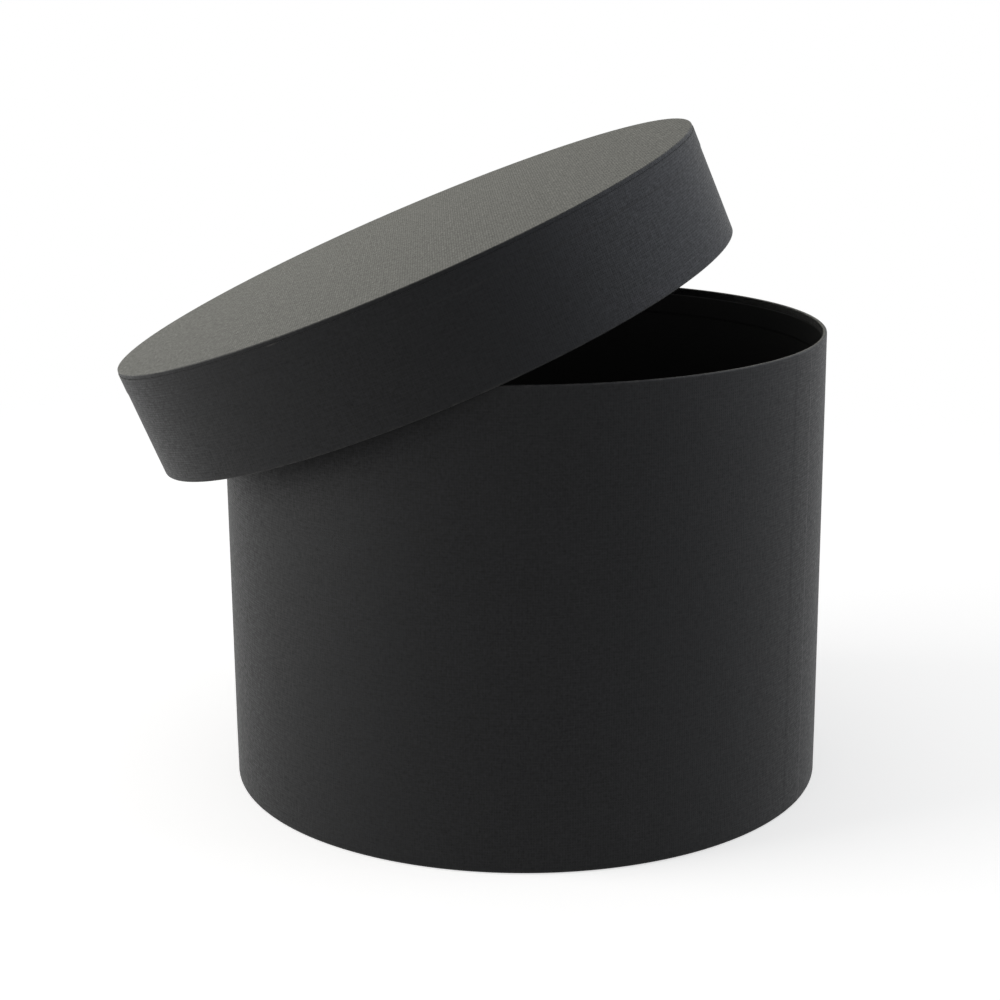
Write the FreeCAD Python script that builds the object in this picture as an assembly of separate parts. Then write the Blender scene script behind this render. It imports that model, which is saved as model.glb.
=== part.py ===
import FreeCAD, Part
import math
import os

# A round set-up hat box: a rolled board tube with a glued-in base, and a shallower lid of the
# same make that drops over it. Every board is covered and lined with paper.
# Millimetres and degrees. The origin is on the body's axis, on the table. The lid stands tilted
# on the body's rim, its low side towards -X.

# Body
BODY_RADIUS = 162.0        # outside of the covering
BODY_HEIGHT = 246.0        # table to the top of the turned-over rim
BODY_TURN_IN = 15.0        # covering turned down inside the mouth
BASE_TURN_UNDER = 12.0     # covering turned in under the base
BASE_COVER_MARGIN = 3.0    # bare turned-under covering round the base cover
BODY_LAP_WIDTH = 20.0      # covering's end pasted over its start
BODY_LAP_AZIMUTH = -32.0   # middle of that lap, from +X towards +Y
BODY_JOINT_AZIMUTH = 150.0 # where the rolled board's ends meet

# Lid
LID_DEPTH = 60.0           # lower edge to the top's outer face
LID_CLEARANCE = 1.0        # between the body's covering and the lid's inner face, all round
LID_TURN_IN = 12.0         # side strip turned up inside the lower edge
TOP_TURN_DOWN = 12.0       # top cover turned down over the side
TOP_REVEAL = 2.25          # top cover left showing above the side strip
LID_LAP_WIDTH = 18.0
LID_LAP_AZIMUTH = 105.0
LID_JOINT_AZIMUTH = 60.0

# Sheet goods
SIDE_BOARD = 1.5           # board of both rolled tubes
DISC_BOARD = 2.5           # board of the base and of the lid's top
COVERING = 0.25            # embossed covering paper
LINING = 0.25              # plain lining paper
LINING_DROP = 4.0          # rim or lower edge to the start of the side lining
JOINT_GAP = 0.3            # between the two butted ends of a rolled board
TAPE_WIDTH = 24.0
TAPE_THICKNESS = 0.2       # pressed flush into the board
TAPE_MARGIN = 6.0          # tape's ends to the board's edges

# How the lid stands on the body
LEAN_TILT = 22.3           # lid's axis from upright
LEAN_OFFSET = 42.0         # lid's lower edge centre from the body's axis, towards -X
LEAN_GAP = 0.3             # left between the lid and the rim it stands on

# Radii of the body's layers, from outside to inside
body_board_outer = BODY_RADIUS - COVERING
body_board_inner = body_board_outer - SIDE_BOARD
body_turn_in_inner = body_board_inner - COVERING

# Heights of the base's layers, from the table up
base_cover_top = COVERING
base_flange_top = base_cover_top + COVERING
base_board_top = base_cover_top + DISC_BOARD
base_flange_inner = BODY_RADIUS - BASE_TURN_UNDER
base_cover_radius = BODY_RADIUS - BASE_COVER_MARGIN

# The body's rim
body_board_top = BODY_HEIGHT - COVERING
body_turn_in_end = BODY_HEIGHT - BODY_TURN_IN
body_lining_top = BODY_HEIGHT - LINING_DROP

# Radii of the lid's layers, from inside to outside
lid_inner = BODY_RADIUS + LID_CLEARANCE
lid_board_inner = lid_inner + COVERING
lid_board_outer = lid_board_inner + SIDE_BOARD
lid_radius = lid_board_outer + COVERING

# Heights in the lid, from its lower edge
lid_board_top = LID_DEPTH - COVERING
lid_board_under = lid_board_top - DISC_BOARD
lid_ceiling = lid_board_under - LINING
turn_down_end = LID_DEPTH - TOP_TURN_DOWN
side_strip_top = LID_DEPTH - TOP_REVEAL


def at(radius, height):
    """Point of a half section: radius along X, height along Z."""
    return FreeCAD.Vector(radius, 0, height)


def line(start, end):
    """Straight edge in a list, or an empty list where the ends coincide."""
    if start.distanceToPoint(end) < 1e-6:
        return []
    return [Part.LineSegment(start, end).toShape()]


def right_of(start, end):
    """Unit vector to the right of the way from start to end, seen with X right and Z up."""
    way = end.sub(start)
    way.normalize()
    return FreeCAD.Vector(way.z, 0, -way.x)


def sheet_section(path, thickness):
    """Section of a sheet pasted along the right of a path of points.

    The near side is the path itself. The far side is the path moved out by the thickness: an
    arc about each corner where the path turns left, and a mitre where it turns right.
    """
    sides = [right_of(a, b) for a, b in zip(path, path[1:])]
    near = []
    for start, end in zip(path, path[1:]):
        near += line(start, end)
    far = []
    here = path[0] + sides[0] * thickness
    for corner, before, after in zip(path[1:], sides, sides[1:]):
        bisector = before + after
        turns_left = before.x * after.z - before.z * after.x > 0
        if turns_left:
            leave = corner + before * thickness
            arrive = corner + after * thickness
            bisector.normalize()
            far += line(here, leave)
            far.append(Part.Arc(leave, corner + bisector * thickness, arrive).toShape())
        else:
            arrive = corner + bisector * (thickness / (1 + before.dot(after)))
            far += line(here, arrive)
        here = arrive
    last = path[-1] + sides[-1] * thickness
    far += line(here, last)
    ends = line(path[-1], last) + line(path[0], path[0] + sides[0] * thickness)
    return Part.Face(Part.Wire(Part.sortEdges(near + far + ends)[0]))


def sweep_round(section, azimuth=0.0, angle=360.0):
    """Solid of a half section turned about Z through the angle, centred on the azimuth."""
    turned = section.copy()
    turned.rotate(FreeCAD.Vector(0, 0, 0), FreeCAD.Vector(0, 0, 1), azimuth - angle / 2)
    return turned.revolve(FreeCAD.Vector(0, 0, 0), FreeCAD.Vector(0, 0, 1), angle)


def arc_angle(width, radius):
    """Angle that a width takes up round a radius."""
    return math.degrees(width / radius)


def tube(inner, outer, bottom, top):
    """Plain tube about Z."""
    height = top - bottom
    base = FreeCAD.Vector(0, 0, bottom)
    return Part.makeCylinder(outer, height, base).cut(Part.makeCylinder(inner, height, base))


def disc(radius, bottom, top):
    """Plain disc about Z."""
    return Part.makeCylinder(radius, top - bottom, FreeCAD.Vector(0, 0, bottom))


def joint_tape(inner, bottom, top, azimuth):
    """Strip of paper tape along a board joint, its inner face flush with the board's."""
    low = bottom + TAPE_MARGIN
    high = top - TAPE_MARGIN
    outer = inner + TAPE_THICKNESS
    section = Part.makePolygon([at(inner, low), at(outer, low), at(outer, high), at(inner, high), at(inner, low)])
    return sweep_round(Part.Face(section), azimuth, arc_angle(TAPE_WIDTH, inner))


def rolled_board(inner, outer, bottom, top, azimuth, tape):
    """Board strip rolled into a tube, with a hairline joint and a seat for its tape."""
    reach = outer + SIDE_BOARD
    joint = Part.makeBox(reach, JOINT_GAP, top - bottom, FreeCAD.Vector(0, -JOINT_GAP / 2, bottom))
    joint.rotate(FreeCAD.Vector(0, 0, 0), FreeCAD.Vector(0, 0, 1), azimuth)
    return tube(inner, outer, bottom, top).cut(tape).cut(joint)


def lapped(wrap, lap_path, width, radius, azimuth):
    """Covering with its end pasted over its start, along a path on its outer face."""
    lap = sweep_round(sheet_section(lap_path, COVERING), azimuth, arc_angle(width, radius))
    return wrap.fuse(lap).removeSplitter()


def make_body():
    """The body's pieces, in place, by name."""
    tape = joint_tape(body_board_inner, base_board_top, body_board_top, BODY_JOINT_AZIMUTH)
    board = rolled_board(
        body_board_inner, body_board_outer, base_flange_top, body_board_top, BODY_JOINT_AZIMUTH, tape
    )
    # The base board is pressed over the turned-under covering, so its middle lies lower.
    base_board = disc(body_board_inner, base_flange_top, base_board_top)
    base_board = base_board.fuse(disc(base_flange_inner, base_cover_top, base_flange_top)).removeSplitter()
    wrap_path = [
        at(base_flange_inner, base_flange_top),
        at(body_board_outer, base_flange_top),
        at(body_board_outer, body_board_top),
        at(body_board_inner, body_board_top),
        at(body_board_inner, body_turn_in_end),
    ]
    lap_path = [at(BODY_RADIUS, base_flange_top), at(BODY_RADIUS, body_board_top)]
    wrap = lapped(
        sweep_round(sheet_section(wrap_path, COVERING)),
        lap_path, BODY_LAP_WIDTH, BODY_RADIUS, BODY_LAP_AZIMUTH,
    )
    lining_path = [
        at(body_turn_in_inner, body_lining_top),
        at(body_turn_in_inner, body_turn_in_end),
        at(body_board_inner, body_turn_in_end),
        at(body_board_inner, base_board_top),
    ]
    lining_inner = body_board_inner - LINING
    return {
        "body_board": board,
        "body_joint_tape": tape,
        "base_board": base_board,
        "body_wrap": wrap,
        "base_cover": disc(base_cover_radius, 0, base_cover_top),
        "body_lining": sweep_round(sheet_section(lining_path, LINING)),
        "base_lining": disc(lining_inner, base_board_top, base_board_top + LINING),
    }


def make_lid():
    """The lid's pieces by name, upright, with the lower edge on Z = 0."""
    lower_board_edge = COVERING
    tape = joint_tape(lid_board_inner, lower_board_edge, lid_board_under, LID_JOINT_AZIMUTH)
    rim_board = rolled_board(
        lid_board_inner, lid_board_outer, lower_board_edge, lid_board_top, LID_JOINT_AZIMUTH, tape
    )
    cover_path = [
        at(lid_board_outer, turn_down_end),
        at(lid_board_outer, lid_board_top),
        at(0, lid_board_top),
    ]
    wrap_path = [
        at(lid_board_inner, LID_TURN_IN),
        at(lid_board_inner, lower_board_edge),
        at(lid_board_outer, lower_board_edge),
        at(lid_board_outer, turn_down_end),
        at(lid_radius, turn_down_end),
        at(lid_radius, side_strip_top),
    ]
    lap_path = [
        at(lid_radius, lower_board_edge),
        at(lid_radius, turn_down_end - COVERING),
        at(lid_radius + COVERING, turn_down_end - COVERING),
        at(lid_radius + COVERING, side_strip_top),
    ]
    wrap = lapped(
        sweep_round(sheet_section(wrap_path, COVERING)),
        lap_path, LID_LAP_WIDTH, lid_radius, LID_LAP_AZIMUTH,
    )
    lining_path = [
        at(lid_board_inner, lid_board_under),
        at(lid_board_inner, LID_TURN_IN),
        at(lid_inner, LID_TURN_IN),
        at(lid_inner, LINING_DROP),
    ]
    return {
        "lid_board": disc(lid_board_inner, lid_board_under, lid_board_top),
        "lid_rim_board": rim_board,
        "lid_joint_tape": tape,
        "lid_top_cover": sweep_round(sheet_section(cover_path, COVERING)),
        "lid_rim_wrap": wrap,
        "lid_top_lining": disc(lid_board_inner - LINING, lid_ceiling, lid_board_under),
        "lid_rim_lining": sweep_round(sheet_section(lining_path, LINING)),
    }


def lean_height():
    """Height of the lid's lower edge centre when it stands on the body's rim.

    The lid stops on whichever it meets first: its lower inner edge against the rim's outer edge,
    where the two circles cross, or its ceiling against the rim on the low side.
    """
    rise = math.sin(math.radians(LEAN_TILT))
    run = math.cos(math.radians(LEAN_TILT))
    # Reach is measured from the lid's centre up its slope to the crossing. It solves
    # rise^2 reach^2 + 2 offset run reach = offset^2 + lid_inner^2 - BODY_RADIUS^2.
    half = LEAN_OFFSET * run
    spare = LEAN_OFFSET ** 2 + lid_inner ** 2 - BODY_RADIUS ** 2
    reach = (math.sqrt(half ** 2 + rise ** 2 * spare) - half) / rise ** 2
    on_crossing = BODY_HEIGHT - reach * rise
    on_ceiling = BODY_HEIGHT - (lid_ceiling - (BODY_RADIUS - LEAN_OFFSET) * rise) / run
    return max(on_crossing, on_ceiling) + LEAN_GAP


def lean(pieces):
    """Tilts the upright lid's pieces and stands them on the body's rim."""
    tilt = FreeCAD.Rotation(FreeCAD.Vector(0, 1, 0), -LEAN_TILT)
    place = FreeCAD.Placement(FreeCAD.Vector(-LEAN_OFFSET, 0, lean_height()), tilt)
    for shape in pieces.values():
        shape.Placement = place.multiply(shape.Placement)
    return pieces


def main():
    os.makedirs("parts", exist_ok=True)
    pieces = {**make_body(), **lean(make_lid())}
    for name, shape in pieces.items():
        shape.exportStep("parts/" + name + ".step")
        print(name, len(shape.Solids), "solid", round(shape.Volume / 1000, 1), "cm3", shape.isValid())
    print("lid's lower edge centre at height", round(lean_height(), 2))


main()
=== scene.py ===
import math

import bpy
import numpy as np
from bpy.props import FloatProperty, FloatVectorProperty, IntProperty, PointerProperty
from mathutils import Matrix, Vector


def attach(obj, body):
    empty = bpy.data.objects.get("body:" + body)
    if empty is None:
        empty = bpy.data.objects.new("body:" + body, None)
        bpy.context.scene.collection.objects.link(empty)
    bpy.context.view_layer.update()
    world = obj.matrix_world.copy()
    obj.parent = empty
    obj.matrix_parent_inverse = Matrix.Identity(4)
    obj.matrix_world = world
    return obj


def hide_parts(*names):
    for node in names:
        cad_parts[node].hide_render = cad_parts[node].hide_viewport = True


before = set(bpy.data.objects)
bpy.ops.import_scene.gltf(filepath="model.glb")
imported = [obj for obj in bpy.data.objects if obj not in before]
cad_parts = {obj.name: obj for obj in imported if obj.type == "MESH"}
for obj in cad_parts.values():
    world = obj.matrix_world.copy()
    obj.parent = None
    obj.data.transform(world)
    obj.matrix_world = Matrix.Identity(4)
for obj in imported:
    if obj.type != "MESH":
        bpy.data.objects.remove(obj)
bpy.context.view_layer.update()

bl_info = {
    "name": "Round Hat Box",
    "version": (1, 0, 0),
    "blender": (4, 5, 0),
    "location": "View3D > Sidebar > Hat Box",
    "description": "Covers and lines a round board hat box, and sets its stage",
    "category": "Object",
}

# ---- Measuring the frame ----


class Place:
    """An upright space of its own: an origin and three unit axes, kept as rows."""

    def __init__(self, origin, axes):
        self.origin = np.asarray(origin, float)
        self.axes = np.asarray(axes, float)

    def inside(self, points):
        """World points, one a row, in this place's own coordinates."""
        return (points - self.origin) @ self.axes.T

    def outside(self, points):
        """This place's points, one a row, in world coordinates."""
        return points @ self.axes + self.origin


def node_points(node):
    """The vertices of a CAD node at rest, one a row."""
    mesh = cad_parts[node].data
    flat = np.empty(len(mesh.vertices) * 3)
    mesh.vertices.foreach_get("co", flat)
    return flat.reshape(-1, 3)


class Measure:
    """A node's vertices as radius, height and azimuth about a place's axis."""

    def __init__(self, node, place):
        x, y, z = place.inside(node_points(node)).T
        self.radius = np.hypot(x, y)
        self.azimuth = np.arctan2(y, x)
        self.height = z
        self.inner = self.radius.min()
        self.outer = self.radius.max()
        self.bottom = z.min()
        self.top = z.max()

    def span(self, mask):
        """Lowest and highest azimuth of the masked vertices."""
        return self.azimuth[mask].min(), self.azimuth[mask].max()


def disc_place(disc, edge):
    """The upright space of a tilted lid: its axis is the least spread of its disc's vertices.

    The origin lies on the axis, level with the lowest vertex of the edge node, and the first
    axis is the world's X laid flat on the disc.
    """
    points = node_points(disc)
    centre = (points.min(0) + points.max(0)) / 2
    normal = np.linalg.svd(points - points.mean(0), full_matrices=False)[2][2]
    normal *= np.sign(normal[2])
    first = np.array([1.0, 0.0, 0.0])
    first -= normal * (first @ normal)
    first /= np.linalg.norm(first)
    place = Place(centre, [first, np.cross(normal, first), normal])
    drop = place.inside(node_points(edge))[:, 2].min()
    return Place(centre + normal * drop, place.axes)


class PartSizes:
    """Radii and heights that the body and the lid both have, in metres."""

    def __init__(self, place, board, covering, flat_lining):
        self.place = place
        self.paper = covering.top - board.top
        self.board_outer = board.outer
        self.board_inner = board.inner
        self.radius = board.outer + self.paper
        self.top = covering.top
        self.lining = flat_lining.top - flat_lining.bottom


class BodySizes(PartSizes):
    """Radii and heights of the box body, read from its nodes."""

    def __init__(self):
        place = Place([0.0, 0.0, 0.0], np.eye(3))
        board = Measure("body_board", place)
        wrap = Measure("body_wrap", place)
        lining = Measure("body_lining", place)
        floor = Measure("base_lining", place)
        under = Measure("base_cover", place)
        super().__init__(place, board, wrap, floor)
        self.flange_top = board.bottom
        self.flange_inner = wrap.inner
        mouth = (wrap.radius < board.inner - self.paper / 2) & (wrap.height > board.top / 2)
        self.turn_in_end = wrap.height[mouth].min()
        self.lap = wrap.span(wrap.radius > self.radius + self.paper / 2)
        self.lining_top = lining.top
        self.lining_bottom = lining.bottom
        self.floor_top = floor.top
        self.under_radius = under.outer
        self.under_top = under.top


class LidSizes(PartSizes):
    """Radii and heights of the lid in its own upright space, read from its nodes."""

    def __init__(self):
        place = disc_place("lid_board", "lid_rim_wrap")
        board = Measure("lid_rim_board", place)
        cover = Measure("lid_top_cover", place)
        strip = Measure("lid_rim_wrap", place)
        ceiling = Measure("lid_top_lining", place)
        super().__init__(place, board, cover, ceiling)
        self.board_top = board.top
        self.turn_down_end = cover.bottom
        self.strip_top = strip.top
        inside = strip.radius < board.inner - self.paper / 2
        self.turn_in_end = strip.height[inside].max()
        # Only the overlap stands two sheets proud of the turned-down cover.
        self.lap = strip.span(strip.radius > self.radius + self.paper * 1.5)
        self.lining_bottom = Measure("lid_rim_lining", place).bottom
        self.ceiling = ceiling.bottom
        self.ceiling_top = ceiling.top


BODY = BodySizes()
LID = LidSizes()

# ---- Sizes, colours and lights that a user would change ----


class HatBoxPaper(bpy.types.PropertyGroup):
    """How the paper is laid and how far the hand-made box strays from a true round."""

    edge_round: FloatProperty(
        name="Edge Rounding",
        description="Radius of the covering where it bends over a board edge",
        default=0.0007, unit="LENGTH",
    )
    wave: FloatProperty(
        name="Side Wave",
        description="Slow unevenness of the rolled board's outside",
        default=0.00022, unit="LENGTH",
    )
    dome: FloatProperty(
        name="Lid Dome",
        description="Rise of the lid's top towards its middle",
        default=0.0004, unit="LENGTH",
    )
    pleat: FloatProperty(
        name="Pleats",
        description="Depth of the pleats pressed into paper turned over the lid's edge",
        default=0.00006, unit="LENGTH",
    )
    nick: FloatProperty(
        name="Nick",
        description="Place of a small nick in the lid's top edge, round from its high side",
        default=math.radians(-113.2), subtype="ANGLE", unit="ROTATION",
    )
    columns: IntProperty(
        name="Columns",
        description="Faces round each turned piece",
        default=480, min=96,
    )


class HatBoxFinish(bpy.types.PropertyGroup):
    """Colours and texture of the papers and boards."""

    covering: FloatVectorProperty(
        name="Covering Colour",
        description="Colour of the embossed covering paper",
        default=(0.0050, 0.0052, 0.0058), size=3, subtype="COLOR", min=0.0, max=1.0,
    )
    # The worn colour is also the painted highlight line along the top side of the lid's top edge.
    worn: FloatVectorProperty(
        name="Worn Edge Colour",
        description="Colour of the covering where its edges are rubbed",
        default=(0.05, 0.049, 0.047), size=3, subtype="COLOR", min=0.0, max=1.0,
    )
    lining: FloatVectorProperty(
        name="Lining Colour",
        description="Colour of the plain lining paper",
        default=(0.03, 0.03, 0.03), size=3, subtype="COLOR", min=0.0, max=1.0,
    )
    board: FloatVectorProperty(
        name="Board Colour",
        description="Colour of the greyboard under the papers",
        default=(0.33, 0.31, 0.28), size=3, subtype="COLOR", min=0.0, max=1.0,
    )
    tape: FloatVectorProperty(
        name="Tape Colour",
        description="Colour of the paper tape on the board joints",
        default=(0.42, 0.28, 0.16), size=3, subtype="COLOR", min=0.0, max=1.0,
    )
    rib_pitch: FloatProperty(
        name="Rib Pitch",
        description="Distance between two ribs of the emboss",
        default=0.00128, unit="LENGTH",
    )
    rib_depth: FloatProperty(
        name="Rib Depth",
        description="Depth of the emboss",
        default=0.000024, unit="LENGTH",
    )
    grain_depth: FloatProperty(
        name="Grain Depth",
        description="Depth of the paper's own grain, coarser than the ribs",
        default=0.00002, unit="LENGTH",
    )


class HatBoxStage(bpy.types.PropertyGroup):
    """Camera, floor and lights."""

    lens: FloatProperty(
        name="Lens", description="Camera's focal length in millimetres", default=74.1,
    )
    distance: FloatProperty(
        name="Camera Distance",
        description="From the camera to the point it looks at",
        default=1.1361, unit="LENGTH",
    )
    elevation: FloatProperty(
        name="Camera Elevation",
        description="Angle of the camera above the horizon",
        default=math.radians(14.644), subtype="ANGLE", unit="ROTATION",
    )
    azimuth: FloatProperty(
        name="Camera Azimuth",
        description="Angle of the camera round the box from its front, towards its right",
        default=math.radians(-1.908), subtype="ANGLE", unit="ROTATION",
    )
    roll: FloatProperty(
        name="Camera Roll",
        description="Turn of the camera about its own line of sight",
        default=math.radians(-0.433), subtype="ANGLE", unit="ROTATION",
    )
    aim_side: FloatProperty(
        name="Aim Side",
        description="How far right of the body's axis the camera looks",
        default=-0.01343, unit="LENGTH",
    )
    aim_height: FloatProperty(
        name="Aim Height",
        description="Height of the point that the camera looks at",
        default=0.14885, unit="LENGTH",
    )
    floor_colour: FloatVectorProperty(
        name="Floor Colour",
        description="Colour of the floor",
        default=(0.84, 0.84, 0.84), size=3, subtype="COLOR", min=0.0, max=1.0,
    )
    floor_lift: FloatProperty(
        name="Floor Lift",
        description="White added to the floor as the camera and reflections see it",
        default=0.55,
    )
    plain: FloatProperty(
        name="Plain Light",
        description="Even light on the whole box from all around",
        default=0.41,
    )
    sheen: FloatProperty(
        name="Even Sheen",
        description="Brightness of the whole studio in the paper's sheen",
        default=0.2,
    )
    above_behind: FloatProperty(
        name="Sheen From Above Behind",
        description="Brightness of the backdrop's upper part in the paper's sheen",
        default=0.99,
    )
    left_behind: FloatProperty(
        name="Sheen From Left Behind",
        description="Brightness of the softbox behind on the left in the paper's sheen",
        default=1.3,
    )
    left: FloatProperty(
        name="Sheen From Left",
        description="Brightness of the left softbox in the paper's sheen",
        default=2.2,
    )
    right: FloatProperty(
        name="Sheen From Right",
        description="Brightness of the right softbox in the paper's sheen",
        default=1.95,
    )
    left_lamp: FloatProperty(
        name="Left Lamp",
        description="Power of the tall lamp on the left",
        default=24.0, unit="POWER",
    )
    right_lamp: FloatProperty(
        name="Right Lamp",
        description="Power of the tall lamp on the right",
        default=6.0, unit="POWER",
    )


# ---- Outlines: half sections as arrays of (radius, height) ----


def arc_points(before, corner, after, radius, steps):
    """Round a corner: points on the arc that touches both of its legs.

    The arc's centre lies on the bisector, at radius / sin(half the corner's angle).
    """
    into = (before - corner) / np.linalg.norm(before - corner)
    out = (after - corner) / np.linalg.norm(after - corner)
    half = math.acos(np.clip(into @ out, -1, 1)) / 2
    bisector = (into + out) / np.linalg.norm(into + out)
    centre = corner + bisector * radius / math.sin(half)
    start = corner + into * radius / math.tan(half) - centre
    end = corner + out * radius / math.tan(half) - centre
    sweep = math.pi - 2 * half
    t = np.linspace(0, 1, steps + 1)[:, None]
    return centre + (np.sin((1 - t) * sweep) * start + np.sin(t * sweep) * end) / math.sin(sweep)


# Distances from the end of a straight run to the closer points beside it, and how many times
# the last of them an even point keeps away.
RUN_ENDS = np.array([0.0004, 0.0009, 0.0016, 0.0028])
RUN_CLEAR = 1.3


def run_points(start, end, step):
    """A straight run's points after its start: even, and closer together beside its two ends."""
    length = np.linalg.norm(end - start)
    ends = RUN_ENDS[RUN_ENDS < length / 2]
    even = np.linspace(0, length, max(1, math.ceil(length / step)) + 1)[1:]
    if len(ends):
        clear = ends[-1] * RUN_CLEAR
        even = even[(even > clear) & (even < length - clear)]
    stops = np.unique(np.concatenate([ends, even, length - ends, [length]]))
    return start + (end - start) * (stops / length)[:, None]


def last_point(pieces):
    """The end of a path that is held in pieces, some of which may be empty."""
    return np.concatenate(pieces[-2:])[-1]


def outline(corners, radii, step, arc_steps=5):
    """A path through corners, each rounded by its radius, with no straight run over the step."""
    corners = [np.asarray(c, float) for c in corners]
    pieces = [corners[0][None]]
    for before, corner, after, radius in zip(corners, corners[1:], corners[2:], radii):
        turn = arc_points(before, corner, after, radius, arc_steps) if radius else corner[None]
        pieces.append(run_points(last_point(pieces), turn[0], step))
        pieces.append(turn[1:])
    pieces.append(run_points(last_point(pieces), corners[-1], step))
    return np.concatenate(pieces)


def along(path):
    """Distance of each point of a path from its start."""
    return np.concatenate([[0.0], np.cumsum(np.linalg.norm(np.diff(path, axis=0), axis=1))])


def offset(path, distance):
    """The path moved to its left by a distance, along the mean normal of its two legs."""
    leg = np.diff(path, axis=0)
    leg /= np.linalg.norm(leg, axis=1)[:, None]
    normal = np.stack([-leg[:, 1], leg[:, 0]], 1)
    first = np.concatenate([normal[:1], normal])
    last = np.concatenate([normal, normal[-1:]])
    mean = first + last
    mean /= (1 + (first * last).sum(1))[:, None]
    return path + mean * distance


# ---- Turned surfaces ----

# Angles from a seam or nick to the extra columns on each side of it, and the least angle
# between two columns.
CLUSTER = np.array([0.0004, 0.0012, 0.003, 0.006, 0.012])
LEAST_TURN = 1e-5
# Faces that meet at more than this angle show a sharp edge.
SHARP_ANGLE = math.radians(42)
# The pasted side of a sheet, which never shows, keeps one point in this many.
BACK_STRIDE = 6


def smooth_step(value, low, high):
    """0 below low, 1 above high, and a smooth cubic between."""
    t = np.clip((value - low) / (high - low), 0, 1)
    return t * t * (3 - 2 * t)


def between(value, low, low_full, high_full, high):
    """0 below low and above high, 1 from low_full to high_full, and smooth on both slopes."""
    return smooth_step(value, low, low_full) * (1 - smooth_step(value, high_full, high))


def columns_round(count, *exact):
    """Azimuths once round, with a fine cluster of extra columns at each exact azimuth."""
    even = np.linspace(-math.pi, math.pi, count, endpoint=False)
    spread = np.concatenate([-CLUSTER, [0.0], CLUSTER])
    every = np.concatenate([even, *(centre + spread for centre in exact)])
    every = np.sort(np.mod(every + math.pi, 2 * math.pi) - math.pi)
    return every[np.concatenate([[True], np.diff(every) > LEAST_TURN])]


def unmoved(radius, height, azimuth):
    """The shift of a surface that keeps its section: none."""
    return 0.0, 0.0


def turned_mesh(name, place, section, azimuths, edge=0.0, cut=0.0, shift=unmoved, disc=False):
    """A section turned about a place's axis, as one closed mesh.

    Vertex (row, column) lies at the row's radius and height and at the column's azimuth, moved
    by shift(radius, height, azimuth), which gives changes of radius and height. Rows join in a
    loop or, in a disc, end in two poles on the axis. The sheet map is the paper laid flat:
    azimuth times the outer radius across and distance along the section up, or a disc's own
    flat plan about its nearer pole. The marks, edge where the paper is rubbed (on the lid's top
    edge also a painted highlight line) and cut where it is cut, are one value, a value per row,
    or a value per row and column.
    """
    rows = section[1:-1] if disc else section
    n_rows, n_cols = len(rows), len(azimuths)
    radius, azimuth = np.meshgrid(rows[:, 0], azimuths, indexing="ij")
    height = np.repeat(rows[:, 1:], n_cols, 1)
    more_radius, more_height = shift(radius, height, azimuth)
    radius = radius + more_radius
    height = height + more_height
    points = np.stack([radius * np.cos(azimuth), radius * np.sin(azimuth), height], -1)
    points = points.reshape(-1, 3)

    quad_rows = np.arange(n_rows - 1 if disc else n_rows)
    a, c = np.meshgrid(quad_rows, np.arange(n_cols), indexing="ij")
    b, d = (a + 1) % n_rows, (c + 1) % n_cols
    quads = np.stack([a * n_cols + c, a * n_cols + d, b * n_cols + d, b * n_cols + c], -1)
    faces = quads.reshape(-1, 4).tolist()

    if disc:
        reach = along(section)
        reach = np.minimum(reach, reach[-1] - reach)
        distance = reach[1:-1]
    else:
        distance = along(np.concatenate([section, section[:1]]))
    outer = section[:, 0].max()
    turn = np.append(azimuths, azimuths[0] + 2 * math.pi)

    def flat(s, angle):
        """The sheet map's point at a distance s and an azimuth."""
        across, up = (s * np.cos(angle), s * np.sin(angle)) if disc else (angle * outer, s)
        return np.stack([across, up], -1)

    near, far, left, right = distance[a], distance[a + 1], turn[c], turn[c + 1]
    corners = [flat(near, left), flat(near, right), flat(far, right), flat(far, left)]
    maps = [np.stack(corners, 2).reshape(-1, 2)]

    if disc:
        ends = np.array([[0.0, 0.0, section[0, 1]], [0.0, 0.0, section[-1, 1]]])
        ends[:, 2] += shift(np.zeros(2), ends[:, 2], np.zeros(2))[1]
        first, last = len(points), len(points) + 1
        points = np.concatenate([points, ends])
        col = np.arange(n_cols)
        after = (col + 1) % n_cols
        base = (n_rows - 1) * n_cols
        faces += np.stack([np.full(n_cols, first), after, col], -1).tolist()
        faces += np.stack([np.full(n_cols, last), base + col, base + after], -1).tolist()
        left, right = turn[:-1], turn[1:]
        middle = (left + right) / 2
        start = [flat(reach[0], middle), flat(reach[1], right), flat(reach[1], left)]
        finish = [flat(reach[-1], middle), flat(reach[-2], left), flat(reach[-2], right)]
        maps += [np.stack(fan, 1).reshape(-1, 2) for fan in (start, finish)]

    mesh = bpy.data.meshes.new(name)
    mesh.from_pydata(place.outside(points), [], faces)
    uv = mesh.uv_layers.new(name="Sheet")
    uv.uv.foreach_set("vector", np.concatenate(maps).astype(np.float32).ravel())
    for mark, values in (("edge", edge), ("cut", cut)):
        values = np.asarray(values, float)
        if values.ndim == 1:
            values = values[:, None]
        values = np.broadcast_to(values, (len(section), n_cols))
        if disc:
            values = np.append(values[1:-1], [0.0, 0.0])
        layer = mesh.attributes.new(mark, "FLOAT", "POINT")
        layer.data.foreach_set("value", values.astype(np.float32).ravel())
    mesh.shade_smooth()
    mesh.set_sharp_from_angle(angle=SHARP_ANGLE)
    piece = bpy.data.objects.new(name, mesh)
    bpy.context.scene.collection.objects.link(piece)
    return piece


def sheet_section(front, thickness):
    """Closed section of a sheet: its seen side, then its pasted side back to the start.

    The seen side lies to the right of its own path, so the pasted side is offset to the left.
    """
    back = offset(front, thickness)[::-1]
    keep = np.unique(np.concatenate([np.arange(0, len(back), BACK_STRIDE), [len(back) - 1]]))
    return np.concatenate([front, back[keep]])


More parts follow.
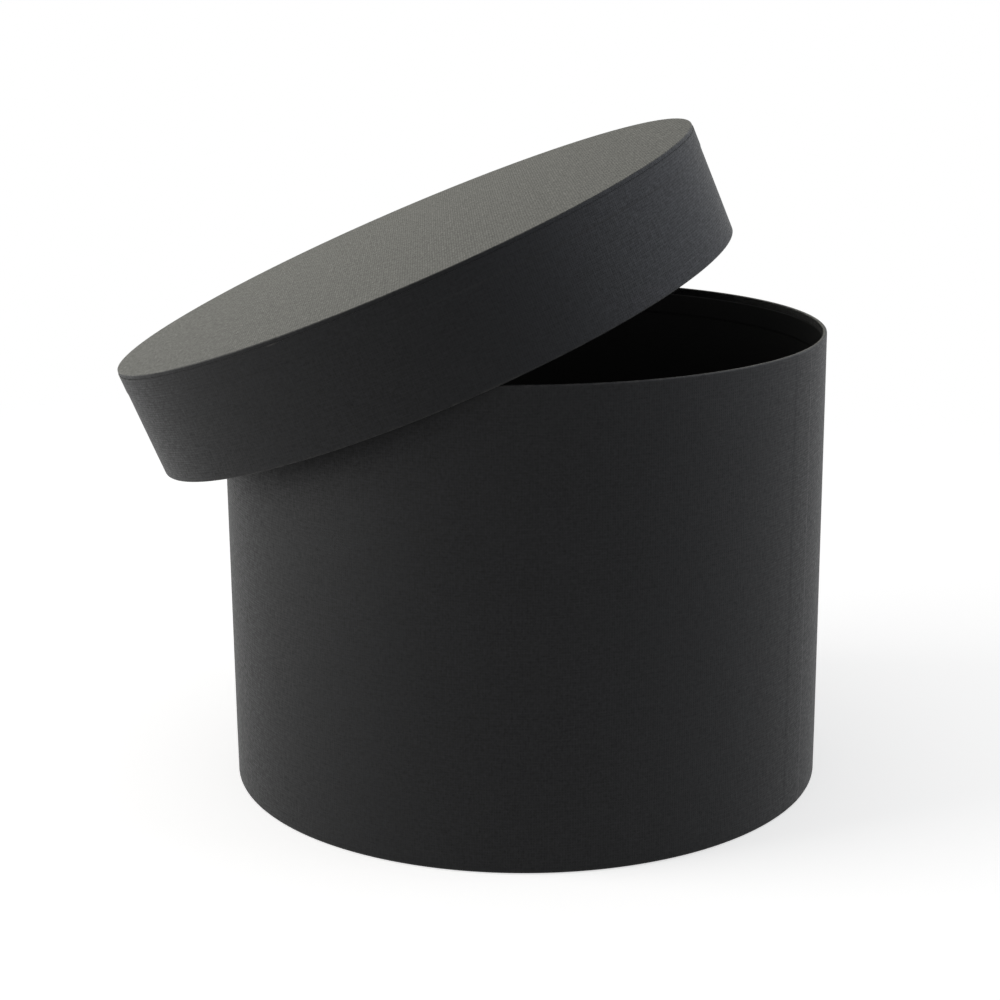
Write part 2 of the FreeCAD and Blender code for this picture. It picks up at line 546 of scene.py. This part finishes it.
def slow_wave(azimuth, height, seed):
    """Slow unevenness from 0 to 1: sines of whole turns, each leaning with height.

    The more turns a sine has the less it weighs, and its phase and lean come from the seed.
    """
    most_lean = 9
    usual_peak = 2.4
    rng = np.random.default_rng(seed)
    total = np.zeros_like(azimuth)
    for turns in (2, 3, 5, 8, 13):
        phase, lean = rng.uniform(0, 2 * math.pi), rng.uniform(-most_lean, most_lean)
        total += 1 / turns ** 0.7 * np.sin(turns * azimuth + phase + lean * height)
    return 0.5 + 0.5 * total / usual_peak


def lap_rise(azimuth, lap, paper, radius):
    """Extra radius of an overlapped covering: a soft rise over the hidden start, a crisp end.

    It is half the paper's thickness between the two, for the covering is pressed down.
    """
    soft = 0.004 / radius
    crisp = 0.0016 / radius
    start, end = lap
    return 0.5 * paper * between(
        azimuth, start - soft / 2, start + soft / 2, end - crisp / 2, end + crisp / 2,
    )


# ---- Shader maths ----


class Wire:
    """A socket that takes part in Python expressions, each adding its Math node."""

    def __init__(self, graph, socket):
        self.graph = graph
        self.socket = socket

    def _math(self, operation, *values):
        return self.graph.add("ShaderNodeMath", {"operation": operation}, dict(enumerate(values)))

    def __add__(self, other):
        return self._math("ADD", self, other)

    def __sub__(self, other):
        return self._math("SUBTRACT", self, other)

    def __rsub__(self, other):
        return self._math("SUBTRACT", other, self)

    def __mul__(self, other):
        return self._math("MULTIPLY", self, other)

    def __truediv__(self, other):
        return self._math("DIVIDE", self, other)

    def __pow__(self, other):
        return self._math("POWER", self, other)

    def clamp(self):
        return self.graph.add("ShaderNodeClamp", {}, {0: self})

    def sine(self):
        return self._math("SINE", self)

    def largest(self, other):
        return self._math("MAXIMUM", self, other)

    __radd__ = __add__
    __rmul__ = __mul__


class Graph:
    """The node tree of a material or a world, built by one method."""

    # A Mix node's colours have no names of their own: two inputs and an output, by number.
    MIX_FIRST, MIX_SECOND, MIX_RESULT = 6, 7, 2

    def __init__(self, owner):
        owner.use_nodes = True
        self.tree = owner.node_tree
        self.tree.nodes.clear()

    def node(self, kind, settings, sockets):
        """Adds a node: its settings first, then the values or links of its sockets."""
        made = self.tree.nodes.new(kind)
        for key, value in settings.items():
            setattr(made, key, value)
        for key, value in sockets.items():
            if isinstance(value, Wire):
                self.tree.links.new(value.socket, made.inputs[key])
            else:
                made.inputs[key].default_value = value
        return made

    def add(self, kind, settings, sockets, output=0):
        """Adds a node and gives one of its outputs."""
        return Wire(self, self.node(kind, settings, sockets).outputs[output])

    def mix(self, factor, first, second):
        """A colour from first to second."""
        return self.add(
            "ShaderNodeMix", {"data_type": "RGBA"},
            {"Factor": factor, self.MIX_FIRST: colour(first), self.MIX_SECOND: colour(second)},
            self.MIX_RESULT,
        )

    def noise(self, vector, scale, detail, roughness=0.5):
        """Noise from 0 to 1."""
        return self.add(
            "ShaderNodeTexNoise", {"noise_dimensions": "3D"},
            {"Vector": vector, "Scale": scale, "Detail": detail, "Roughness": roughness}, "Fac",
        )

    def stretched_noise(self, vector, scales, detail, roughness=0.5):
        """Noise from 0 to 1 with a scale of its own along each axis."""
        stretched = self.add(
            "ShaderNodeMapping", {"vector_type": "POINT"}, {"Vector": vector, "Scale": scales},
        )
        return self.noise(stretched, 1.0, detail, roughness)

    def coordinates(self, kind):
        """The sheet map, called UV, or the coordinates of an Object or Generated kind."""
        return self.add("ShaderNodeTexCoord", {}, {}, kind)

    def mark(self, name):
        """A mark painted on a piece's vertices, from 0 to 1."""
        return self.add("ShaderNodeAttribute", {"attribute_name": name}, {}, "Fac")

    def surface(self, base, roughness, specular, strength, distance, height):
        """Finishes a material: a base colour, roughness and shine, with a height pressed in."""
        bump = self.add(
            "ShaderNodeBump", {}, {"Strength": strength, "Distance": distance, "Height": height},
        )
        self.finish(self.add("ShaderNodeBsdfPrincipled", {}, {
            "Base Color": base, "Roughness": roughness, "Specular IOR Level": specular,
            "Normal": bump,
        }))

    def finish(self, shader, output="ShaderNodeOutputMaterial"):
        """Links the finished shader to the tree's output."""
        self.node(output, {}, {"Surface": shader})


def colour(value):
    """A colour with its alpha, or a wire as it is."""
    return value if isinstance(value, Wire) else (*value, 1.0)


def shades(plain, *factors):
    """A colour made darker or lighter by each factor."""
    return [[channel * factor for channel in plain] for factor in factors]


# ---- Materials, each named as its maker is ----


def embossed_covering_paper(graph, finish):
    """Black paper embossed with a fine linen weave.

    The weave is two sets of ribs across the sheet map, each rib's place and strength varied
    by noise drawn out along it, over the paper's coarser grain. Rubbed edges show lighter
    fibres, and along the top side of the lid's top edge the lighter colour is also a painted
    highlight line. A cut edge shows a little of the paper's core.
    """
    sheet = graph.coordinates("UV")
    where = graph.node("ShaderNodeSeparateXYZ", {}, {0: sheet})

    def threads(axis, drift_scales, slub_scales):
        """One way's ribs: a sine across them, drifting by noise, and the slub of its threads."""
        drift = graph.stretched_noise(sheet, drift_scales, 2.0)
        per_metre = 2 * math.pi / finish.rib_pitch
        ribs = (Wire(graph, where.outputs[axis]) * per_metre + drift * 4.0).sine()
        return ribs, graph.stretched_noise(sheet, slub_scales, 3.0, 0.6)

    warp, warp_slub = threads(0, (260, 35, 1), (800, 200, 1))
    weft, weft_slub = threads(1, (35, 260, 1), (200, 800, 1))
    ribs = (warp * warp_slub).largest(weft * weft_slub)
    grain = graph.stretched_noise(sheet, (620, 620, 1), 2.0, 0.6)
    relief = ribs * finish.rib_depth + (grain + warp_slub + weft_slub) * finish.grain_depth
    mottle = graph.noise(sheet, 60.0, 3.0, 0.6)

    # Each pattern as it strays from its own middle value.
    coarse, cloudy, ribbed = grain - 0.5, mottle - 0.5, ribs - 0.3
    slubby = warp_slub + weft_slub - 1
    shade = 0.5 + coarse * 1.8 + cloudy * 0.5 + slubby * 0.9 + ribbed * 0.12
    roughness = 0.53 - coarse * 0.25 - cloudy * 0.04 - slubby * 0.26 - ribbed * 0.14
    tone = graph.mix(shade.clamp(), *shades(finish.covering, 0.4, 1.6))
    patches = graph.noise(sheet, 160.0, 4.0, 0.7) * 2.2 - 0.85
    # Paler where the edges are rubbed; along the lid's top edge this paler colour is also a
    # painted highlight line.
    rubbed_and_highlit = (graph.mark("edge") * patches).clamp()
    wear = (rubbed_and_highlit + graph.mark("cut")).clamp()
    graph.surface(graph.mix(wear, tone, finish.worn), roughness, 0.2, 1.0, 1.0, relief)


def plain_lining_paper(graph, finish):
    """Plain dull black paper with a faint fibre, paler at a cut edge."""
    sheet = graph.coordinates("UV")
    fibre = graph.stretched_noise(sheet, (900, 500, 1), 3.0, 0.7)
    mottle = graph.noise(sheet, 30.0, 3.0)
    dark, light, core = shades(finish.lining, 0.7, 1.5, 5)
    base = graph.mix((fibre * 0.6 + mottle * 0.4).clamp(), dark, light)
    base = graph.mix((graph.mark("cut") * 0.5).clamp(), base, core)
    graph.surface(base, 0.88 + (mottle - 0.5) * 0.1, 0.05, 0.6, 0.00003, fibre)


def greyboard(graph, finish):
    """Recycled pulp board: fine flecks over a slow cloudiness."""
    place = graph.coordinates("Object")
    fleck = graph.noise(place, 900.0, 4.0, 0.7)
    cloud = graph.noise(place, 60.0, 3.0)
    base = graph.mix((fleck * 0.7 + cloud * 0.3).clamp(), *shades(finish.board, 0.75, 1.15))
    graph.surface(base, 0.88 + (cloud - 0.5) * 0.1, 0.2, 0.7, 0.00008, fleck)


def joint_tape_paper(graph, finish):
    """Brown gummed paper tape with long upright fibres."""
    fibre = graph.stretched_noise(graph.coordinates("Object"), (900, 900, 120), 3.0, 0.6)
    base = graph.mix(fibre.clamp(), *shades(finish.tape, 0.8, 1.1))
    graph.surface(base, 0.6 + fibre * 0.2, 0.3, 0.5, 0.00004, fibre)


def material_of(maker):
    """The material that a maker fills, made once and named as the maker is."""
    name = maker.__name__
    material = bpy.data.materials.get(name)
    if material is None:
        material = bpy.data.materials.new(name)
        maker(Graph(material), bpy.context.scene.hat_box_finish)
    return material


def lay(piece, maker, body, slot, *nodes):
    """Gives a new piece its material and its body, and hides the nodes that it stands for. The
    slot is not used.
    """
    piece.data.materials.append(material_of(maker))
    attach(piece, body)
    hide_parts(*nodes)


# ---- Operators, one for each piece or group of like pieces ----

# The share of its paper's thickness that a sheet is drawn with, so that its pasted side stays
# just clear of the board.
COVERING_SHARE = 0.96
LINING_SHARE = 0.94
# An edge's inner side is rounded by this share of the edge rounding.
INNER_ROUND = 0.6
# Longest straight step along the sections of flat discs and linings.
PLAIN_STEP = 0.012
# A sheet climbs over another's end within this height, and a lining bends there by this radius.
CLIMB = 0.0012
CLIMB_ROUND = 0.0004
# How far the covering is rubbed from an edge of a side, of the lid's top and of the base,
# where the lid's top edge also takes a painted highlight line, and how far the lining shows as
# cut from its end.
WEAR_REACH = 0.0013
TOP_RUB_AND_HIGHLIGHT_REACH = 0.0011
BASE_WEAR_REACH = 0.001
CUT_REACH = 0.0006
# A side covering's outer face counts from one share of the paper's thickness to the other.
FACE_FROM, FACE_TO = 0.2, 0.9
# The lid's side waves by this share of the body's wave.
LID_WAVE = 0.6
# The line where a lap ends: its half width, and how strongly it shows as cut.
SEAM_WIDTH = 0.0004
SEAM_TONE = 0.03
# The pleats at the lid's top edge, as a comb, and how far from the edge they reach.
PLEATS = (151, 2, 7, 37, 1.3)
PLEAT_REACH = 0.0035
# The fray of the lid strip's raw edge, as a comb, and its depth and height.
FRAY = (211, 3, 17, 53)
FRAY_DEPTH = 0.00005
FRAY_HEIGHT = 0.0004
# The torn bit at the nick: how far it curls out, over what width and height, how far down the
# strip and how wide it shows as cut, and how wide on the lid's top.
CURL = 0.00025
CURL_WIDTH = 0.003
CURL_HEIGHT = 0.0016
TORN_REACH = 0.0009
TORN_WIDTH = 0.0026
TORN_TOP_WIDTH = 0.0022


def nearness(path, points, reach):
    """1 at each listed point of a section's path, fading to 0 over the reach."""
    gaps = [np.linalg.norm(path - np.asarray(p), axis=1) for p in points]
    return np.clip(1 - np.min(gaps, axis=0) / reach, 0, 1)


def bell(azimuth, centre, radius, width):
    """1 at a centre azimuth: e to the minus square of the distance from it over the width."""
    return np.exp(-((azimuth - centre) * radius / width) ** 2)


def comb(azimuth, teeth, sway, sways, groups, start=0.0):
    """Uneven teeth round an edge: a sine of teeth whose phase sways, times a sine of groups."""
    fine = np.sin(azimuth * teeth + sway * np.sin(azimuth * sways))
    return fine * np.sin(azimuth * groups + start)


def outer_face(radius, sizes):
    """0 on a side covering's pasted face and 1 on its outer face, smooth between the two."""
    board, paper = sizes.board_outer, sizes.paper
    return smooth_step(radius, board + paper * FACE_FROM, board + paper * FACE_TO)


def seam_line(section, azimuths, sizes):
    """The cut mark of a faint line down a side covering's outer face, where its lap ends."""
    inside = sizes.board_outer + sizes.paper * FACE_FROM
    side = smooth_step(section[:, 0], inside, sizes.radius - 0.00001)
    line = bell(azimuths, sizes.lap[1], sizes.radius, SEAM_WIDTH)
    return SEAM_TONE * side[:, None] * line[None]


def flat_disc(name, sizes, radius, top, bottom, columns, wear=0.0):
    """A round of paper between two heights, its lower edge rubbed over the reach of wear."""
    corners = [(0, top), (radius, top), (radius, bottom), (0, bottom)]
    section = outline(corners, [0, 0], PLAIN_STEP)[::-1]
    edge = nearness(section, [(radius, bottom)], wear) if wear else 0.0
    return turned_mesh(name, sizes.place, section, columns_round(columns), edge, disc=True)


def lining_strip(name, sizes, corners, end, columns):
    """A strip of lining down through corners, two of them rounded, with a cut at its open end."""
    front = outline(corners, [CLIMB_ROUND, CLIMB_ROUND], PLAIN_STEP)
    section = sheet_section(front, sizes.lining * LINING_SHARE)
    cut = nearness(section, [end], CUT_REACH)
    return turned_mesh(name, sizes.place, section, columns_round(columns), cut=cut)


class HATBOX_OT_body_covering(bpy.types.Operator):
    """Wraps the body in embossed paper, turned in at the mouth and under the base"""

    bl_idname = "hatbox.body_covering"
    bl_label = "Body Covering"

    def execute(self, context):
        paper = context.scene.hat_box_paper
        r = paper.edge_round
        inner = BODY.board_inner - BODY.paper
        under = BODY.flange_top - BODY.paper
        corners = [
            (BODY.flange_inner, under), (BODY.radius, under), (BODY.radius, BODY.top),
            (inner, BODY.top), (inner, BODY.turn_in_end),
        ]
        front = outline(corners, [r, r, r * INNER_ROUND], 0.006)
        section = sheet_section(front, BODY.paper * COVERING_SHARE)
        azimuths = columns_round(paper.columns, *BODY.lap)
        # How far from the body's two ends the wave starts, and how far it is full.
        still, full = 0.001, 0.03

        def shift(radius, height, azimuth):
            """Out by the slow wave, which dies away towards both ends, and by the lap's rise."""
            middle = between(height, under + still, full, BODY.top - full, BODY.top - still)
            wave = paper.wave * slow_wave(azimuth, height, 3) * middle
            side = between(height, under, under + r, BODY.top - r, BODY.top)
            lap = lap_rise(azimuth, BODY.lap, BODY.paper, BODY.radius) * side
            return outer_face(radius, BODY) * (wave + lap), 0.0

        worn = [(BODY.radius, BODY.top), (inner, BODY.top), (BODY.radius, under)]
        piece = turned_mesh(
            "covering_body", BODY.place, section, azimuths,
            nearness(section, worn, WEAR_REACH), seam_line(section, azimuths, BODY), shift,
        )
        lay(piece, embossed_covering_paper, "box", "covering_paper", "body_wrap")
        return {"FINISHED"}


class HATBOX_OT_base_covering(bpy.types.Operator):
    """Covers the underside with a disc of the same paper"""

    bl_idname = "hatbox.base_covering"
    bl_label = "Base Covering"

    def execute(self, context):
        columns = context.scene.hat_box_paper.columns
        piece = flat_disc(
            "covering_base", BODY, BODY.under_radius, BODY.under_top, 0, columns, BASE_WEAR_REACH,
        )
        lay(piece, embossed_covering_paper, "box", "covering_paper", "base_cover")
        return {"FINISHED"}


class HATBOX_OT_body_lining(bpy.types.Operator):
    """Lines the body's side and floor with plain paper"""

    bl_idname = "hatbox.body_lining"
    bl_label = "Body Lining"

    def execute(self, context):
        columns = context.scene.hat_box_paper.columns
        low = BODY.board_inner - BODY.lining
        high = low - BODY.paper
        step = BODY.turn_in_end - BODY.lining
        corners = [
            (high, BODY.lining_top), (high, step), (low, step - CLIMB), (low, BODY.lining_bottom),
        ]
        piece = lining_strip("lining_body", BODY, corners, corners[0], columns)
        lay(piece, plain_lining_paper, "box", "lining_paper", "body_lining")
        bottom = BODY.floor_top - BODY.lining
        piece = flat_disc("lining_floor", BODY, low, BODY.floor_top, bottom, columns)
        lay(piece, plain_lining_paper, "box", "lining_paper", "base_lining")
        return {"FINISHED"}


class HATBOX_OT_lid_top_covering(bpy.types.Operator):
    """Covers the lid's top, turned down over its edge in small pressed pleats"""

    bl_idname = "hatbox.lid_top_covering"
    bl_label = "Lid Top Covering"

    def execute(self, context):
        paper = context.scene.hat_box_paper
        r = paper.edge_round
        corners = [(0, LID.top), (LID.radius, LID.top), (LID.radius, LID.turn_down_end)]
        front = outline(corners, [r], 0.004, 6)
        back = offset(front, -LID.paper * COVERING_SHARE)[::-1]
        back[-1, 0] = 0
        section = np.concatenate([front, back])[::-1]
        azimuths = columns_round(paper.columns * 3 // 2, paper.nick)

        def shift(radius, height, azimuth):
            """Up by a dome on the top, and in by a comb's teeth at the pleats round its edge.

            The dome is the square of 1 less the square of the radius over the lid's, and the
            pleats fade from the edge as e to the minus square of distance over their reach.
            """
            upper = (height > LID.board_top - r) & (radius < LID.board_outer - r / 2)
            dome = paper.dome * (1 - (radius / LID.radius) ** 2) ** 2 * upper
            teeth = np.abs(comb(azimuth, *PLEATS)) * (radius > LID.board_outer)
            fade = np.exp(-((radius - LID.radius) / PLEAT_REACH) ** 2)
            return -paper.pleat * teeth * fade, dome

        edges = nearness(section, [(LID.radius, LID.top)], TOP_RUB_AND_HIGHLIGHT_REACH)
        nick = bell(azimuths, paper.nick, LID.radius, TORN_TOP_WIDTH)
        # The rubbed mark along the lid's top edge is doubled and kept to the top side of the
        # edge: it is wear and also a painted highlight line.
        rubbed_and_highlit = 2 * edges * smooth_step(section[:, 1], LID.top - r, LID.top - 0.3 * r)
        piece = turned_mesh(
            "covering_lid_top", LID.place, section, azimuths,
            rubbed_and_highlit, 0.5 * edges[:, None] * nick[None], shift, disc=True,
        )
        lay(piece, embossed_covering_paper, "lid", "covering_paper", "lid_top_cover")
        return {"FINISHED"}


class HATBOX_OT_lid_side_covering(bpy.types.Operator):
    """Wraps the lid's side in a strip that laps over the top's turned-down edge"""

    bl_idname = "hatbox.lid_side_covering"
    bl_label = "Lid Side Covering"

    def execute(self, context):
        paper = context.scene.hat_box_paper
        r = paper.edge_round
        inner = LID.board_inner - LID.paper
        proud = LID.radius + LID.paper
        corners = [
            (inner, LID.turn_in_end), (inner, 0), (LID.radius, 0),
            (LID.radius, LID.turn_down_end - CLIMB), (proud, LID.turn_down_end),
            (proud, LID.strip_top),
        ]
        climb_round = 0.002
        front = outline(corners, [r * INNER_ROUND, r, climb_round, climb_round], 0.003)
        section = sheet_section(front, LID.paper * COVERING_SHARE)
        azimuths = columns_round(paper.columns, *LID.lap, paper.nick)
        # How far from the lower edge the wave starts, and how far it is full.
        still, full = 0.001, 0.02

        def shift(radius, height, azimuth):
            """Out by a slow wave, the lap's rise and a curl at the nick, and a frayed top edge.

            The curl is a bell round the nick that grows towards the edge, and the fray a comb.
            """
            wave = paper.wave * LID_WAVE * slow_wave(azimuth, height, 7)
            wave *= smooth_step(height, still, full)
            lap = lap_rise(azimuth, LID.lap, LID.paper, LID.radius) * smooth_step(height, 0, r)
            curl = CURL * bell(azimuth, paper.nick, LID.radius, CURL_WIDTH)
            curl *= smooth_step(height, LID.strip_top - CURL_HEIGHT, LID.strip_top)
            fray = FRAY_DEPTH * comb(azimuth, *FRAY) * (height > LID.strip_top - FRAY_HEIGHT)
            seen = outer_face(radius, LID)
            return seen * (wave + lap + curl), seen * fray

        raw = nearness(section, [corners[-1]], FRAY_HEIGHT)
        torn = nearness(section, [corners[-1]], TORN_REACH)
        nick = bell(azimuths, paper.nick, LID.radius, TORN_WIDTH)
        cut = 0.1 * raw[:, None] + torn[:, None] * nick[None] + seam_line(section, azimuths, LID)
        worn = [(LID.radius, 0), (inner, 0)]
        piece = turned_mesh(
            "covering_lid_side", LID.place, section, azimuths,
            nearness(section, worn, WEAR_REACH), cut, shift,
        )
        lay(piece, embossed_covering_paper, "lid", "covering_paper", "lid_rim_wrap")
        return {"FINISHED"}


class HATBOX_OT_lid_lining(bpy.types.Operator):
    """Lines the lid's side and ceiling with plain paper"""

    bl_idname = "hatbox.lid_lining"
    bl_label = "Lid Lining"

    def execute(self, context):
        columns = context.scene.hat_box_paper.columns
        low = LID.board_inner - LID.lining
        high = low - LID.paper
        step = LID.turn_in_end + LID.lining
        corners = [
            (low, LID.ceiling_top), (low, step + CLIMB), (high, step), (high, LID.lining_bottom),
        ]
        piece = lining_strip("lining_lid_side", LID, corners, corners[-1], columns)
        lay(piece, plain_lining_paper, "lid", "lining_paper", "lid_rim_lining")
        piece = flat_disc("lining_lid_ceiling", LID, low, LID.ceiling_top, LID.ceiling, columns)
        lay(piece, plain_lining_paper, "lid", "lining_paper", "lid_top_lining")
        return {"FINISHED"}


class HATBOX_OT_boards(bpy.types.Operator):
    """Gives the boards and joint tapes under the papers their materials"""

    bl_idname = "hatbox.boards"
    bl_label = "Boards and Tapes"

    NODES = {
        greyboard: ("body_board", "base_board", "lid_board", "lid_rim_board"),
        joint_tape_paper: ("body_joint_tape", "lid_joint_tape"),
    }

    def execute(self, context):
        for maker, nodes in self.NODES.items():
            for node in nodes:
                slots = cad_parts[node].data.materials
                slots.clear()
                slots.append(material_of(maker))
        return {"FINISHED"}


# ---- Stage: floor, light and camera ----

# The floor's own radius, its sides and how far it lies under the box.
FLOOR_RADIUS = 40.0
FLOOR_SIDES = 128
FLOOR_DROP = 0.0001
# From the middle, the floor is lit and shadowed within the first distance, and turns plain
# white over the second.
FLOOR_LIT = 0.2
FLOOR_FADE = 0.9
# Each tall lamp's width and height, its place on the right, and the point both look at.
LAMP_SIZE = (1.3, 1.8)
LAMP_PLACE = (1.9, -0.3, 0.9)
LAMP_AIM = (0, 0, 0.15)


def ray_kinds(graph):
    """1 for the camera's own rays, and 1 for the rays that a gloss or glass sends on."""
    path = graph.node("ShaderNodeLightPath", {}, {})
    camera, glossy, through = (
        Wire(graph, path.outputs[name])
        for name in ("Is Camera Ray", "Is Glossy Ray", "Is Transmission Ray")
    )
    return camera, glossy.largest(through)


def make_floor(stage):
    """A wide pale disc just under the box: lit and shadowed near it, plain white further off."""
    angles = np.linspace(0, 2 * math.pi, FLOOR_SIDES, endpoint=False)
    east, north = np.cos(angles) * FLOOR_RADIUS, np.sin(angles) * FLOOR_RADIUS
    mesh = bpy.data.meshes.new("floor")
    rim = np.stack([east, north, np.full(FLOOR_SIDES, -FLOOR_DROP)], 1)
    mesh.from_pydata(rim, [], [list(range(FLOOR_SIDES))])
    floor = bpy.data.objects.new("floor", mesh)
    bpy.context.scene.collection.objects.link(floor)
    material = bpy.data.materials.new("pale_floor")
    graph = Graph(material)
    camera, sheen = ray_kinds(graph)
    seen = camera.largest(sheen)
    place = graph.coordinates("Object")
    away = graph.add("ShaderNodeVectorMath", {"operation": "LENGTH"}, {0: place}, "Value")
    far = ((away - FLOOR_LIT) / FLOOR_FADE).clamp() * seen
    diffuse = graph.add("ShaderNodeBsdfDiffuse", {}, {"Color": colour(stage.floor_colour)})
    lift = graph.add("ShaderNodeEmission", {}, {"Strength": seen * stage.floor_lift})
    lit = graph.add("ShaderNodeAddShader", {}, {0: diffuse, 1: lift})
    white = graph.add("ShaderNodeEmission", {}, {"Strength": 1.0})
    graph.finish(graph.add("ShaderNodeMixShader", {}, {0: far, 1: lit, 2: white}))
    mesh.materials.append(material)


def make_world(scene, stage):
    """White where it is seen, plain as light, and a studio with softboxes in the paper's sheen.

    Each softbox is a lobe: the part of a direction that points at it, raised to a power.
    """
    scene.world = bpy.data.worlds.new("studio")
    graph = Graph(scene.world)
    camera, sheen = ray_kinds(graph)
    direction = graph.coordinates("Generated")
    even = (1 - sheen) * (1 - camera) * stage.plain + sheen * stage.sheen + camera
    light = graph.add("ShaderNodeBackground", {}, {"Color": colour((1, 1, 1)), "Strength": even})
    softboxes = (
        ((0, 0.7071, 0.7071), 3, stage.above_behind, (1.0, 0.98, 0.845)),
        ((-0.7071, 0.7071, 0), 3, stage.left_behind, (1.0, 0.985, 0.86)),
        ((-1, 0, 0), 2, stage.left, (0.96, 0.985, 1.0)),
        ((0.86, 0, 0.51), 2, stage.right, (0.83, 0.88, 1.0)),
    )
    for aim, power, strength, tint in softboxes:
        towards = graph.add(
            "ShaderNodeVectorMath", {"operation": "DOT_PRODUCT"}, {0: direction, 1: aim}, "Value",
        )
        lobe = towards.largest(0.0) ** power * strength * sheen
        box = graph.add("ShaderNodeBackground", {}, {"Color": colour(tint), "Strength": lobe})
        light = graph.add("ShaderNodeAddShader", {}, {0: light, 1: box})
    graph.finish(light, "ShaderNodeOutputWorld")


def make_lamps(stage):
    """Two tall soft lamps, a warmer one on the left and a cooler one on the right."""
    across, depth, height = LAMP_PLACE
    lamps = (
        ("lamp_left", -across, stage.left_lamp, (1.0, 0.98, 0.95)),
        ("lamp_right", across, stage.right_lamp, (0.94, 0.97, 1.0)),
    )
    for name, side, power, tint in lamps:
        data = bpy.data.lights.new(name, "AREA")
        data.shape = "RECTANGLE"
        data.size, data.size_y = LAMP_SIZE
        data.energy = power
        data.color = tint
        lamp = bpy.data.objects.new(name, data)
        lamp.location = (side, depth, height)
        aim = Vector(LAMP_AIM) - lamp.location
        lamp.rotation_euler = aim.to_track_quat("-Z", "Y").to_euler()
        lamp.visible_camera = False
        bpy.context.scene.collection.objects.link(lamp)


def make_camera(scene, stage):
    """A camera that looks down a little at the box, turned by azimuth, elevation and roll."""
    data = bpy.data.cameras.new("camera")
    data.sensor_width = 36.0
    data.lens = stage.lens
    camera = bpy.data.objects.new("camera", data)
    scene.collection.objects.link(camera)
    cos_a, sin_a = math.cos(stage.azimuth), math.sin(stage.azimuth)
    cos_e, sin_e = math.cos(stage.elevation), math.sin(stage.elevation)
    cos_r, sin_r = math.cos(stage.roll), math.sin(stage.roll)
    forward = Vector((-sin_a * cos_e, cos_a * cos_e, -sin_e))
    right = Vector((cos_a, sin_a, 0))
    up = right.cross(forward)
    target = right * stage.aim_side + Vector((0, 0, stage.aim_height))
    turned_right = right * cos_r + up * sin_r
    turned_up = up * cos_r - right * sin_r
    rotation = Matrix((turned_right, turned_up, -forward)).transposed()
    place = Matrix.Translation(target - forward * stage.distance)
    camera.matrix_world = place @ rotation.to_4x4()
    scene.camera = camera


class HATBOX_OT_stage(bpy.types.Operator):
    """Sets the floor, the surrounding light, the lamps and the camera"""

    bl_idname = "hatbox.stage"
    bl_label = "Stage"

    def execute(self, context):
        stage = context.scene.hat_box_stage
        context.scene.view_settings.view_transform = "Standard"
        make_floor(stage)
        make_world(context.scene, stage)
        make_lamps(stage)
        make_camera(context.scene, stage)
        return {"FINISHED"}


class HATBOX_PT_sidebar(bpy.types.Panel):
    """Lists the hat box's steps and settings"""

    bl_idname = "HATBOX_PT_sidebar"
    bl_label = "Hat Box"
    bl_space_type = "VIEW_3D"
    bl_region_type = "UI"
    bl_category = "Hat Box"

    def draw(self, context):
        layout = self.layout
        for step in STEPS:
            layout.operator(step.bl_idname)
        for group in GROUPS:
            settings = getattr(context.scene, group)
            column = layout.column(align=True)
            for key in settings.__annotations__:
                column.prop(settings, key)


GROUPS = {
    "hat_box_paper": HatBoxPaper,
    "hat_box_finish": HatBoxFinish,
    "hat_box_stage": HatBoxStage,
}
STEPS = (
    HATBOX_OT_body_covering,
    HATBOX_OT_base_covering,
    HATBOX_OT_body_lining,
    HATBOX_OT_lid_top_covering,
    HATBOX_OT_lid_side_covering,
    HATBOX_OT_lid_lining,
    HATBOX_OT_boards,
    HATBOX_OT_stage,
)


def register():
    for made in (*GROUPS.values(), *STEPS, HATBOX_PT_sidebar):
        bpy.utils.register_class(made)
    for name, group in GROUPS.items():
        setattr(bpy.types.Scene, name, PointerProperty(type=group))


def unregister():
    for name in GROUPS:
        delattr(bpy.types.Scene, name)
    for made in reversed((*GROUPS.values(), *STEPS, HATBOX_PT_sidebar)):
        bpy.utils.unregister_class(made)


def main():
    register()
    for step in STEPS:
        module, name = step.bl_idname.split(".")
        getattr(getattr(bpy.ops, module), name)()


if __name__ == "__main__":
    main()
